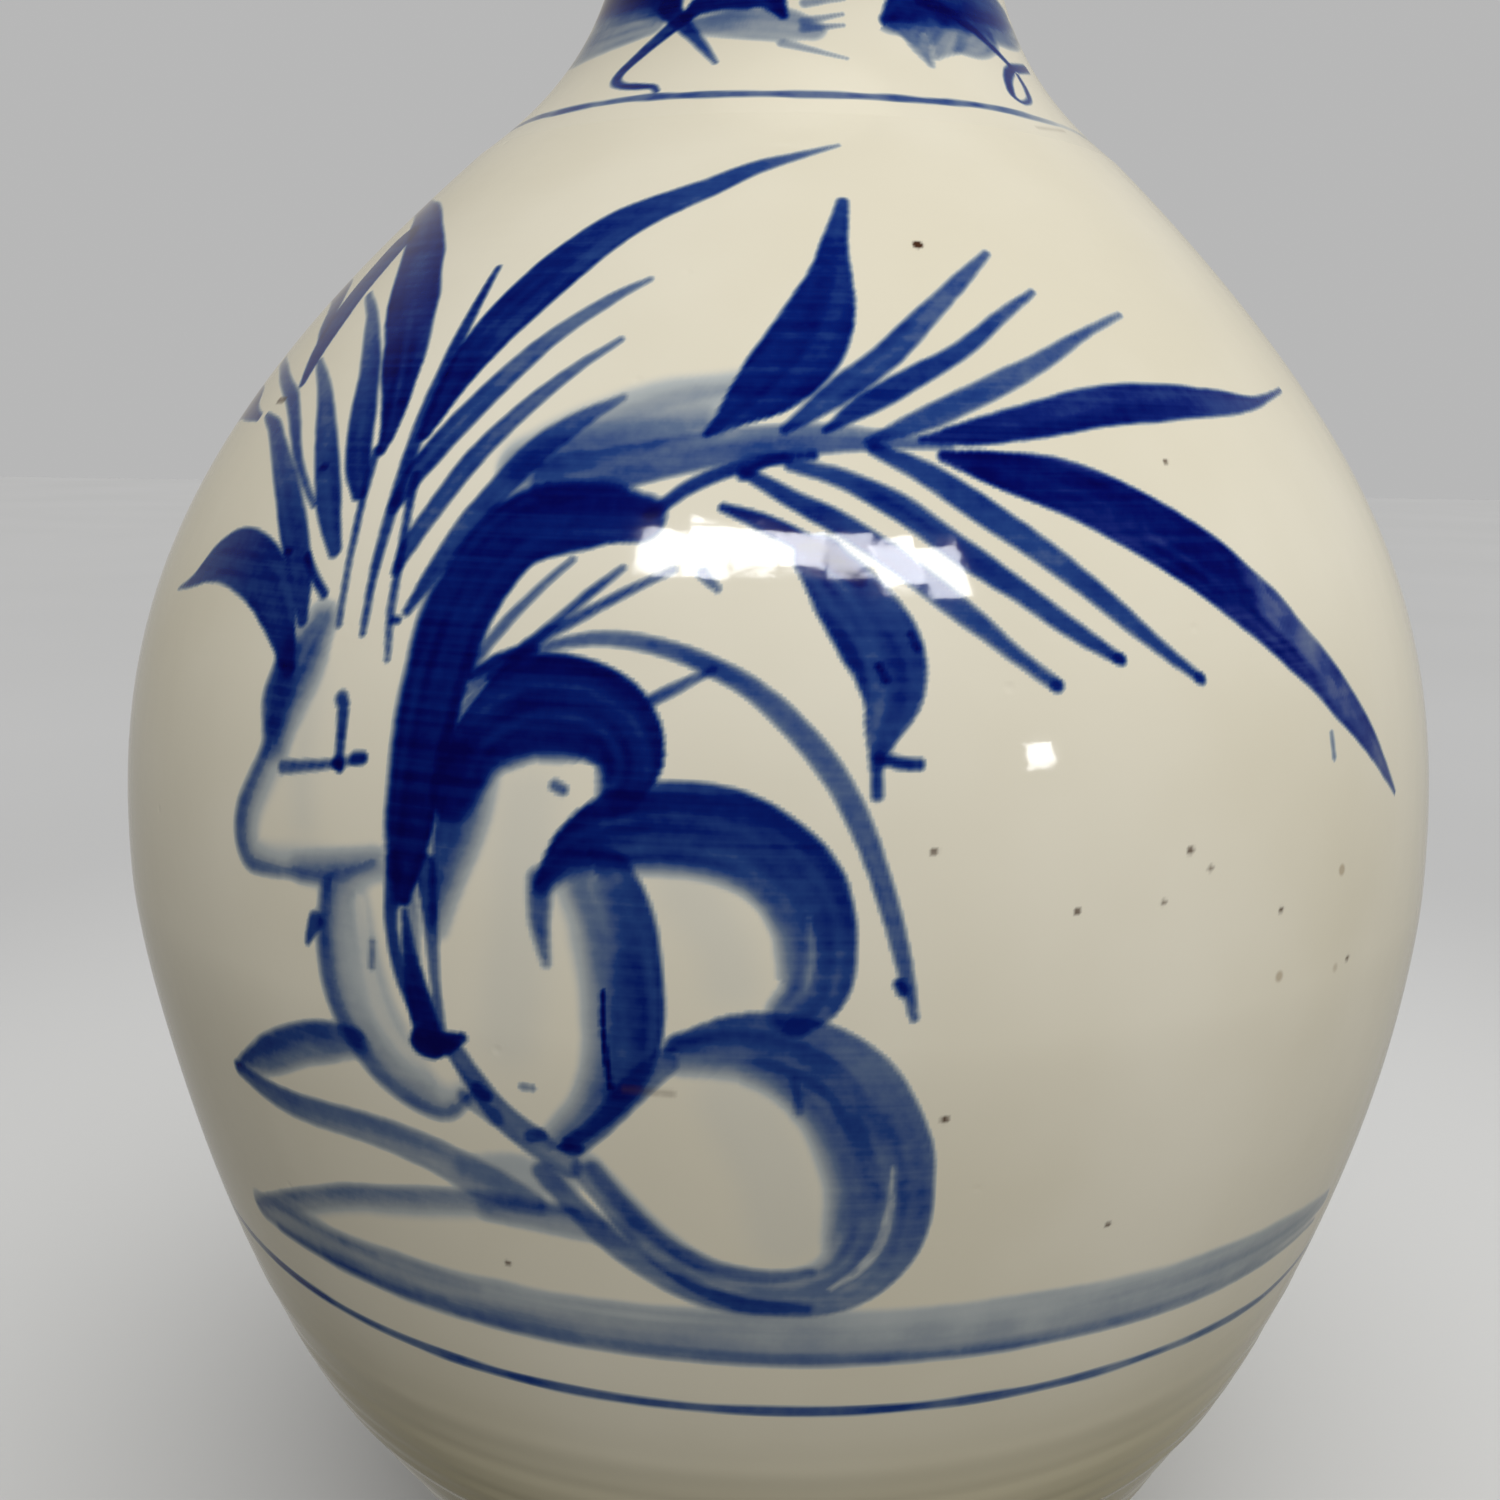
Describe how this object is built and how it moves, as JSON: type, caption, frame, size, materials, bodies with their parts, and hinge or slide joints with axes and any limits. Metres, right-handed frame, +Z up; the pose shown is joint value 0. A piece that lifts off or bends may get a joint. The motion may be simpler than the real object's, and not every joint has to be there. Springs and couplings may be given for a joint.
{
  "type": "sake bottle",
  "caption": "Round-bellied glazed porcelain bottle with a slim neck, a foot ring and a lift-out cork stopper, for storing and pouring sake.",
  "frame": {"origin": "centre of the foot ring, on the surface that the bottle stands on", "axes": "+Z up the bottle's axis, from the foot to the mouth; the front of the painting faces -Y"},
  "size_m": [0.152, 0.152, 0.2578],
  "materials": {
    "glazed_porcelain": "glossy cream glaze over blue brush painting",
    "cork": "dry, grained",
    "turned_wood": "satin, worn"
  },
  "bodies": {
    "bottle": {"lower_body": "glazed_porcelain", "upper_body": "glazed_porcelain", "neck": "glazed_porcelain"},
    "stopper": {"stopper_cork": "cork", "stopper_knob": "turned_wood"}
  },
  "joints": [
    {"name": "stopper_lift", "type": "slide", "parent": "bottle", "child": "stopper", "axis": [0, 0, 1], "range_m": [0, 0.06]}
  ]
}
